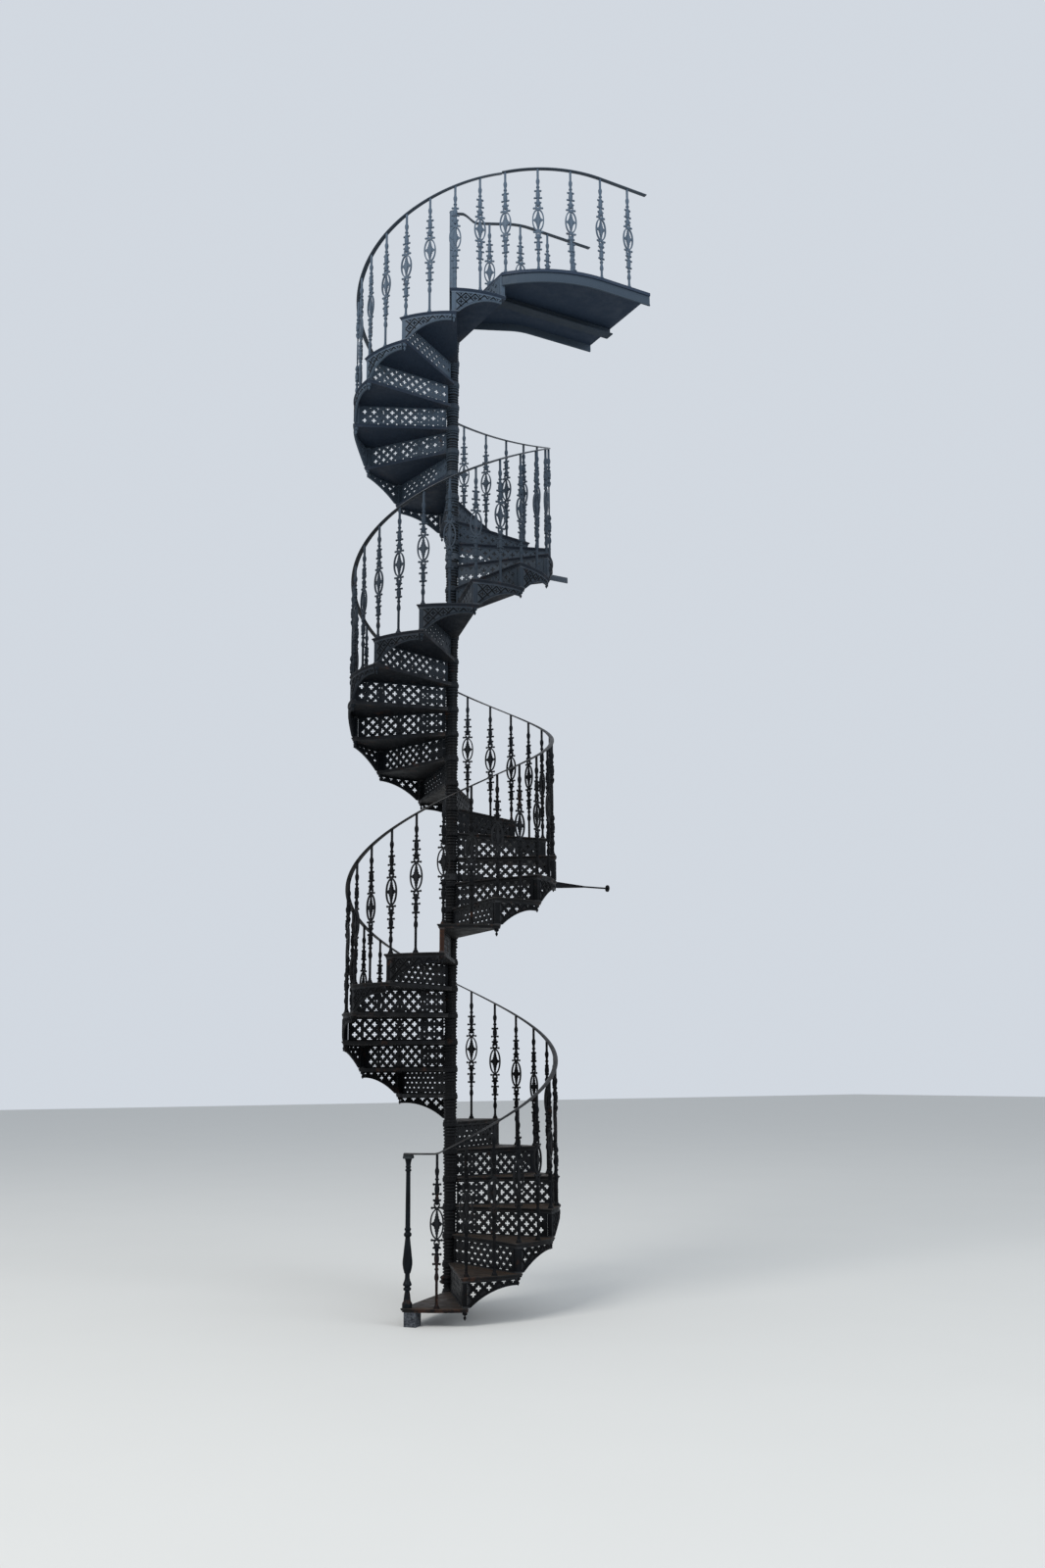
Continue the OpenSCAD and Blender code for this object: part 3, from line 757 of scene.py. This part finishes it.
# Balusters: heights in the ornament are from its middle, and NECK to KNOBS are its upper half
ORNAMENT_AT = 412
RING_H, RING_W, RING_BAR, RING_T = 180, 87, 9.0, 11
RING_SIDES_OUT, RING_SIDES_IN = 40, 36
RING_BEAD = 4.2
STAR = [(4, -79), (7.5, -72), (6, -65), (10, -57), (8.5, -50), (13.5, -41), (11.5, -34), (18.5, -24), (16.5, -17),
        (27, -10), (30, -5), (38, -3.5)]
STAR_END, STAR_T = 84, 6
SPINE = [(0.0, -64), (5, -42), (9, -18), (13, -5), (13, 5), (9, 18), (5, 42), (0.0, 64)]
SPINE_T = 13
NECK = [(0.0, 84), (10, 86), (16, 91), (33, 90), (37, 95), (34, 100), (17, 102), (20, 110), (19, 121), (14, 129),
        (25, 138), (23, 145), (12, 146), (12, 160), (0.0, 160)]
HEART = [(0.0, 98), (7.5, 105), (12, 113), (9.5, 120), (4.5, 120), (0.0, 115)]
NECK_T = 10
SWELLING = [(8, 112), (13, 124), (15.5, 134), (15.5, 146), (10, 152), (9.5, 166), (11, 172), (15, 175), (15, 181),
            (12.5, 184), (15, 192), (15.8, 204), (15, 216), (12.5, 228), (14.5, 232), (14.5, 239), (9, 243),
            (8.5, 258), (13, 262), (13, 269), (8.5, 273), (9, 288), (12, 298), (14, 310), (13.5, 322), (9.5, 332),
            (SHAFT_R, 338)]
ORNAMENT_REACH = SWELLING[-1][1]
KNOB_R = 8.0
KNOBS = ((31, 95, KNOB_R), (24, 178, KNOB_R), (20, 235, KNOB_R), (21, 141, 6.0))
BARRED_KNOBS = KNOBS[1:3]
KNOB_BAR = (4.5, 4.8)
BELL = [(20, 0), (20, 4), (17, 6), (16, 12), (12, 18), (9.5, 24), (10.5, 27), (10.5, 30), (7.5, 34), (SHAFT_R, 38)]
STEM_FOOT, STEM_LAP, STEM_IN_RAIL = 40, 2, 3
STEM_SIDES, STEM_TOP_SIDES = 14, 12


def ornament():
    """The cast middle of a baluster, symmetric above and below its oval ring's centre at z = 0."""
    shape = casting(oval(RING_W, RING_H, RING_SIDES_OUT),
                    [oval(RING_W - 2 * RING_BAR, RING_H - 2 * RING_BAR, RING_SIDES_IN)], RING_T)
    for side in (-1, 1):
        shape.put(ball(RING_BEAD, side * (RING_W / 2 - RING_BAR), 0))
    half = [(0.0, -STAR_END)] + STAR + [(x, -z) for x, z in reversed(STAR)] + [(0.0, STAR_END)]
    shape.put(casting(mirrored(half), [], STAR_T))
    shape.put(casting(mirrored(SPINE), [], SPINE_T))
    upper = casting(mirrored(NECK), [mirrored(HEART)], NECK_T)
    for x, z, r in KNOBS:
        upper.put(ball(r, x, z))
        upper.put(ball(r, -x, z))
    deep, high = KNOB_BAR
    for x, z, _ in BARRED_KNOBS:
        upper.put(bar((-x, -deep, z - high), (x, deep, z + high)))
    upper.put(turned(SWELLING, STEM_SIDES))
    shape.put(upper.upside_down())
    shape.put(upper)
    return shape


ORNAMENT = ornament()


def baluster(height):
    """A baluster for a rail at a height above the tread."""
    centre = height - ORNAMENT_AT
    shape = turned(BELL + [(SHAFT_R, max(centre - ORNAMENT_REACH, STEM_FOOT) + STEM_LAP)], STEM_SIDES)
    shape.put(turned([(SHAFT_R, centre + ORNAMENT_REACH - STEM_LAP), (SHAFT_R, height + STEM_IN_RAIL)],
                     STEM_TOP_SIDES))
    shape.put(ORNAMENT, yaw=90, at=(0, 0, centre))
    return shape


# Rails: the section as shares of the width and of the thickness
RAIL_SHARES = [(-0.5, 0.10), (-0.44, 0.0), (0.44, 0.0), (0.5, 0.10), (0.5, 0.45), (0.44, 0.66), (0.30, 0.86),
               (0.12, 0.97), (-0.12, 0.97), (-0.30, 0.86), (-0.44, 0.66), (-0.5, 0.45)]
RAIL_SECTION = [(s * RAIL_W, u * RAIL_T) for s, u in RAIL_SHARES]
RAIL_FROM = -0.6
RAIL_CUT = 2


def rail_z(turned_by):
    """Height of the rail's underside: level as far as the first step's baluster, then rising."""
    level = STEP_ANGLE / 2 + CORNER_AT
    return step_top(1) + BALUSTER_H + RISE * (max(turned_by, level) - CORNER_AT) / STEP_ANGLE


def helical_rail(start, stop):
    turns = np.linspace(start, stop, int((stop - start) / RAIL_CUT) + 2)
    points = [(*polar(BALUSTER_R, START_ANGLE + t), rail_z(t)) for t in turns]
    return sweep(RAIL_SECTION, points, [polar(1, START_ANGLE + t) for t in turns])


# Landing lines, as in the part
OUT_R = 920
OUT_CENTRE = (690, OUT_R - LANDING_OUT)
OUT_CUTS = 28
IN_R = 376
IN_CENTRE = (548, IN_R - LANDING_IN)
IN_CUTS = 12
IN_TURN = 27
IN_START = 24
IN_GAP = 3
LANDING_DIR = step_dir(STEP_COUNT + 1)


def arc(centre, r, start, stop, n):
    return [(centre[0] + polar(r, a)[0], centre[1] + polar(r, a)[1]) for a in np.linspace(start, stop, n + 1)]


def outer_line(inset):
    corner = polar(TREAD_R, LANDING_DIR)
    start = math.degrees(math.atan2(corner[1] - OUT_CENTRE[1], corner[0] - OUT_CENTRE[0]))
    return arc(OUT_CENTRE, OUT_R - inset, start, -90, OUT_CUTS) + [(LANDING_END, inset - LANDING_OUT)]


def inner_line(inset):
    return ([polar(BOSS_R + IN_GAP, -IN_START)] + arc(IN_CENTRE, IN_R + inset, -90 - IN_TURN, -90, IN_CUTS)
            + [(LANDING_END, -LANDING_IN - inset)])


def directions(points):
    """Sideways direction at each point of a line."""
    out = []
    for i in range(len(points)):
        a, b = points[max(i - 1, 0)], points[min(i + 1, len(points) - 1)]
        dx, dy = b[0] - a[0], b[1] - a[1]
        d = math.hypot(dx, dy)
        out.append((dy / d, -dx / d))
    return out


def at_length(points, s):
    """The place and the heading at a length along a line, or None past its end."""
    for (x0, y0), (x1, y1) in zip(points, points[1:]):
        d = math.hypot(x1 - x0, y1 - y0)
        if s <= d:
            t = s / d
            return (x0 + (x1 - x0) * t, y0 + (y1 - y0) * t), math.degrees(math.atan2(y1 - y0, x1 - x0))
        s -= d
    return None


RAIL_INSET = TREAD_R - BALUSTER_R
OUTER_RAIL = outer_line(RAIL_INSET)
INNER_RAIL = inner_line(RAIL_INSET)
LANDING_PITCH = 240
LANDING_END_GAP = 19
OUTER_FIRST, INNER_FIRST = 20, 225
RAMP_FROM, RAMP_TO = 0.10, 0.42
RAMP_CUTS = 25


def level_rail(points):
    return sweep(RAIL_SECTION, [(*p, LANDING_Z + BALUSTER_H) for p in points], directions(points))


def inner_rail():
    """Leaves the column's top level, then sinks in an S to the height of the railing."""
    first, second = np.array(polar(COLUMN_R, -IN_START)), np.array(INNER_RAIL[1])
    drop = COLUMN_HEAD - RAIL_T - BALUSTER_H
    points, heights = [], []
    for t in np.linspace(0, 1, RAMP_CUTS)[:-1]:
        s = min(max((t - RAMP_FROM) / (RAMP_TO - RAMP_FROM), 0), 1)
        points.append(tuple(first + (second - first) * t))
        heights.append(BALUSTER_H + drop * (1 - s * s * (3 - 2 * s)))
    points += INNER_RAIL[1:]
    heights += [BALUSTER_H] * (len(INNER_RAIL) - 1)
    return sweep(RAIL_SECTION, [(*p, LANDING_Z + h) for p, h in zip(points, heights)], directions(points))


def landing_balusters(points, first):
    shape = Shape()
    s = first
    while at_length(points, s + LANDING_END_GAP):
        place, heading = at_length(points, s)
        shape.put(CORNER, yaw=heading + 90, at=(*place, LANDING_Z))
        s += LANDING_PITCH
    return shape


# Newel, as (radius, height), with a fluted swelling and a square cap as (height, outset)
NEWEL_H = BALUSTER_H + RISE / 2
NEWEL_AT = (707, 17)
NEWEL = [(31, 0), (31, 24), (29, 29), (23, 37), (21, 55), (18, 78), (15, 92), (15, 98), (22, 101), (24, 105),
         (24, 112), (22, 116), (16.5, 119), (16.5, 123), (24, 127), (27, 131), (27, 139), (24, 144), (19, 156),
         (15, 172), (14.5, 196), (17, 206), (22, 216), (27, 230), (29.5, 250), (29.5, 262), (28.5, 284), (26, 310),
         (23, 340), (19.5, 368), (16.5, 396), (15, 410), (15, 414), (21.5, 418), (24, 424), (24, 432), (21.5, 437),
         (16, 441), (16, 450), (20.5, 454), (20.5, 464), (16, 468), (15.5, 473), (15, 617), (13.5, 799), (13.5, 803),
         (18.5, 806), (20, 811), (18.5, 816), (14, 820), (14, 825), (18, 829), (18, 833), (14.5, 838), (16, 855),
         (20, 872), (23, NEWEL_H - 23)]
NEWEL_SIDES = 40
LEAVES = [(19, 200), (25, 222), (30.5, 252), (30.5, 272), (27, 300), (21, 332), (18, 352)]
LEAF_SIDES, LEAF_COUNT, LEAF_DEPTH, LEAF_ZONE = 48, 8, 5.0, (210, 345)
CAP_HALF = 27
CAP_LEVELS = [(NEWEL_H - 24, -3), (NEWEL_H - 20, 0), (NEWEL_H - 11, 0), (NEWEL_H - 9, -2), (NEWEL_H, -2)]


def newel():
    shape = turned(NEWEL, NEWEL_SIDES)
    shape.put(turned(LEAVES, LEAF_SIDES, LEAF_COUNT, LEAF_DEPTH, LEAF_ZONE))
    shape.put(square_post(-CAP_HALF, CAP_HALF, -CAP_HALF, CAP_HALF, CAP_LEVELS))
    return shape


# Building the pieces
TREAD, RISER, PILASTER, SPANDREL = tread(), riser(), pilaster(), spandrel()
DROP = turned(PENDANT, PENDANT_SIDES)
DROP_X, DROP_Y = PILASTER_IN + PILASTER_W / 2, PILASTER_W / 2
DROP_REACH, DROP_TURN = math.hypot(DROP_X, DROP_Y), math.degrees(math.atan2(DROP_Y, DROP_X))
CORNER, MIDDLE = baluster(BALUSTER_H), baluster(BALUSTER_H + RISE / 2)

for f in range(1, FLIGHTS + 1):
    treads, risers, posts, panels, bars = Shape(), Shape(), Shape(), Shape(), Shape()
    for k in flight(f):
        turn, z = step_dir(k), step_top(k)
        treads.put(TREAD, turn, (0, 0, z))
        if k > 1:
            risers.put(RISER, turn, (0, 0, z - RISE))
            posts.put(PILASTER, turn, (0, 0, z - RISE))
            posts.put(DROP, turn + DROP_TURN, (0, 0, z - RISE - TREAD_T), along=DROP_REACH)
            if k != LOST_SPANDREL:
                panels.put(SPANDREL, turn, (0, 0, z - TREAD_T))
            bars.put(CORNER, turn + CORNER_AT, (0, 0, z), along=BALUSTER_R)
        bars.put(MIDDLE, turn + CORNER_AT + STEP_ANGLE / 2, (0, 0, z), along=BALUSTER_R)
    start = RAIL_FROM if f == 1 else (f - 1) * FLIGHT_STEPS * STEP_ANGLE
    stop = STEP_COUNT * STEP_ANGLE + CORNER_AT if f == FLIGHTS else f * FLIGHT_STEPS * STEP_ANGLE
    rail = helical_rail(start, stop)
    claim(treads.object(f"tread_set_{f}", TREAD_IRON, CAST_SHARP), "iron_treads", f"treads_flight_{f}")
    claim(risers.object(f"riser_set_{f}", IRON, PLATE_SHARP), "iron_steps", f"risers_flight_{f}")
    claim(posts.object(f"pilaster_set_{f}", PILASTER_IRON, PLATE_SHARP), "iron_steps", f"pilasters_flight_{f}")
    claim(panels.object(f"spandrel_set_{f}", IRON, PLATE_SHARP), "iron_steps", f"spandrels_flight_{f}")
    claim(bars.object(f"baluster_set_{f}", BALUSTER_IRON, CAST_SHARP), "iron_railing", f"balusters_flight_{f}")
    claim(rail.object(f"rail_run_{f}", RAIL_METAL, RAIL_SHARP), "rail_steel", f"handrail_flight_{f}")

for name, first, node in (("hub_set_odd", 1, "hubs_odd_steps"), ("hub_set_even", 2, "hubs_even_steps")):
    hubs = Shape()
    for k in range(first, STEP_COUNT + 1, 2):
        hubs.put(hub(FIRST_TOP - FLANGE_T if k == 1 else RISE), step_dir(k), (0, 0, step_top(k)))
    claim(hubs.object(name, HUB_IRON, CAST_SHARP), "iron_steps", node)
collar = Shape()
collar.put(turned(COLLAR, COLLAR_SIDES, COLLAR_FLUTES, COLLAR_FLUTE_DEPTH, COLLAR_FLUTED), step_dir(2),
           (0, 0, step_top(1) + COLLAR_FROM))
claim(collar.object("rusted_collar", COLLAR_IRON, CAST_SHARP), "iron_steps")

top_riser = Shape()
top_riser.put(RISER, LANDING_DIR, (0, 0, LANDING_Z - RISE))
top_riser.put(PILASTER, LANDING_DIR, (0, 0, LANDING_Z - RISE))
claim(top_riser.object("landing_riser_panel", IRON, PLATE_SHARP), "iron_steps", "landing_riser")
for side, rail in (("outer", level_rail(OUTER_RAIL)), ("inner", inner_rail())):
    claim(rail.object(f"landing_rail_run_{side}", RAIL_METAL, RAIL_SHARP), "rail_steel", f"landing_rail_{side}")
for side, line, first in (("outer", OUTER_RAIL, OUTER_FIRST), ("inner", INNER_RAIL, INNER_FIRST)):
    bars = landing_balusters(line, first)
    claim(bars.object(f"landing_baluster_set_{side}", BALUSTER_IRON, CAST_SHARP), "iron_railing",
          f"landing_balusters_{side}")

newel_piece = Shape()
nx, ny = NEWEL_AT
newel_piece.put(newel(), START_ANGLE + math.degrees(math.atan2(ny, nx)), (0, 0, FIRST_TOP), along=math.hypot(nx, ny))
claim(newel_piece.object("newel_casting", NEWEL_PAINT, CAST_SHARP), "newel_paint", "newel_post")

# Nodes that show as they are, with a material of their own
LEFT = {"column": BALUSTER_IRON, "column_base": IRON, "column_cap": BALUSTER_IRON, "newel_block": GREY_BLOCK,
        "landing_plate": LANDING_FLOOR, "landing_fascia_outer": FASCIA_IRON, "landing_fascia_inner": FASCIA_IRON,
        "landing_joist": LANDING_IRON, "wall_tie_lower": IRON, "wall_tie_upper": IRON}
for node, material in LEFT.items():
    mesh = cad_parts[node].data
    mesh.materials.clear()
    mesh.materials.append(material)

# Stage, light and camera, in metres
FLOOR_HALF = 60.0
FLOOR_COLOUR = (0.62, 0.62, 0.60)
SKY_COLOUR, SKY_STRENGTH = (0.86, 0.92, 1.0), 0.75
LIGHT_TARGET = (0, 0, 4)
LIGHTS = {"key": ((-14, -6, 16), 9.0, 2600, (1.0, 0.97, 0.93)),
          "fill": ((6, -16, 9), 10.0, 1100, (0.90, 0.95, 1.0))}
CAMERA_AT = (-4.400, -8.598, 1.512)
CAMERA_AZIMUTH = math.radians(59.908)
CAMERA_PITCH = math.radians(11.725)
CAMERA_ROLL = math.radians(0.409)
FOCAL_PX = 1418.99
PHOTO_H = 1600
SENSOR = 36.0
CLIP_END = 200.0


def link(name, data, place=(0, 0, 0)):
    thing = bpy.data.objects.new(name, data)
    thing.location = place
    bpy.context.scene.collection.objects.link(thing)
    return thing


def looking(direction):
    """Rotation that turns a lamp or a camera towards a direction, upright."""
    return Vector(direction).to_track_quat("-Z", "Y")


floor = bpy.data.meshes.new("floor")
floor.from_pydata([(FLOOR_HALF * x, FLOOR_HALF * y, 0) for x, y in ((-1, -1), (1, -1), (1, 1), (-1, 1))], [],
                  [(0, 1, 2, 3)])
floor.materials.append(matt("floor", FLOOR_COLOUR))
piece = link("floor", floor)

world = bpy.data.worlds.new("studio")
bpy.context.scene.world = world
world.use_nodes = True
background = world.node_tree.nodes["Background"]
background.inputs["Color"].default_value = (*SKY_COLOUR, 1.0)
background.inputs["Strength"].default_value = SKY_STRENGTH

for name, (place, size, power, colour) in LIGHTS.items():
    light = bpy.data.lights.new(name, "AREA")
    light.shape, light.size, light.energy, light.color = "SQUARE", size, power, colour
    lamp = link(name, light, place)
    lamp.rotation_mode = "QUATERNION"
    lamp.rotation_quaternion = looking(Vector(LIGHT_TARGET) - Vector(place))

camera = bpy.data.cameras.new("photo_camera")
camera.sensor_fit = "VERTICAL"
camera.sensor_height = SENSOR
camera.lens = FOCAL_PX / PHOTO_H * SENSOR
camera.clip_end = CLIP_END
shot = link("photo_camera", camera, CAMERA_AT)
forward = Vector((math.cos(CAMERA_AZIMUTH) * math.cos(CAMERA_PITCH),
                  math.sin(CAMERA_AZIMUTH) * math.cos(CAMERA_PITCH), math.sin(CAMERA_PITCH)))
shot.rotation_mode = "QUATERNION"
shot.rotation_quaternion = Matrix.Rotation(CAMERA_ROLL, 3, forward).to_quaternion() @ looking(forward)
bpy.context.scene.camera = shot
bpy.context.scene.view_settings.view_transform = "Standard"
